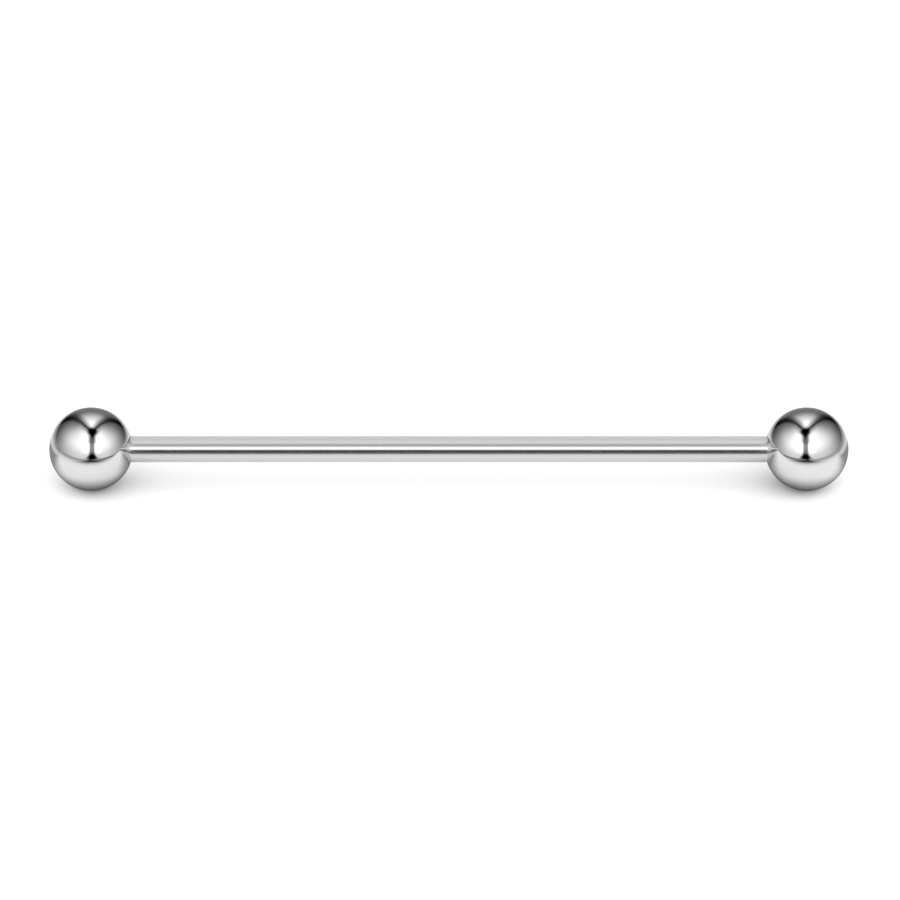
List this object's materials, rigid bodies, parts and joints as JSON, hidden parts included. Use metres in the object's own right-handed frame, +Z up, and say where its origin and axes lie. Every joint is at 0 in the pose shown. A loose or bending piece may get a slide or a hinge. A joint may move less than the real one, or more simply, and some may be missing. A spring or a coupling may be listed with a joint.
{
  "type": "industrial barbell",
  "caption": "Straight polished metal bar with a screw-on ball at each end, worn through the upper ear.",
  "frame": {"origin": "middle of the bar, on its axis", "axes": "+X along the bar towards the right ball, +Z up from the surface that the balls rest on"},
  "size_m": [0.0478, 0.005, 0.005],
  "materials": {
    "bar_steel": "polished, with fine turned marks round the bar",
    "ball_steel": "mirror polished"
  },
  "bodies": {
    "bar": {"bar": "bar_steel"},
    "left_ball": {"left_ball": "ball_steel"},
    "right_ball": {"right_ball": "ball_steel"}
  },
  "joints": [
    {"name": "unscrew_left_ball", "type": "slide", "parent": "bar", "child": "left_ball", "axis": [-1, 0, 0], "range_m": [0, 0.015]},
    {"name": "unscrew_right_ball", "type": "slide", "parent": "bar", "child": "right_ball", "axis": [1, 0, 0], "range_m": [0, 0.015]}
  ]
}
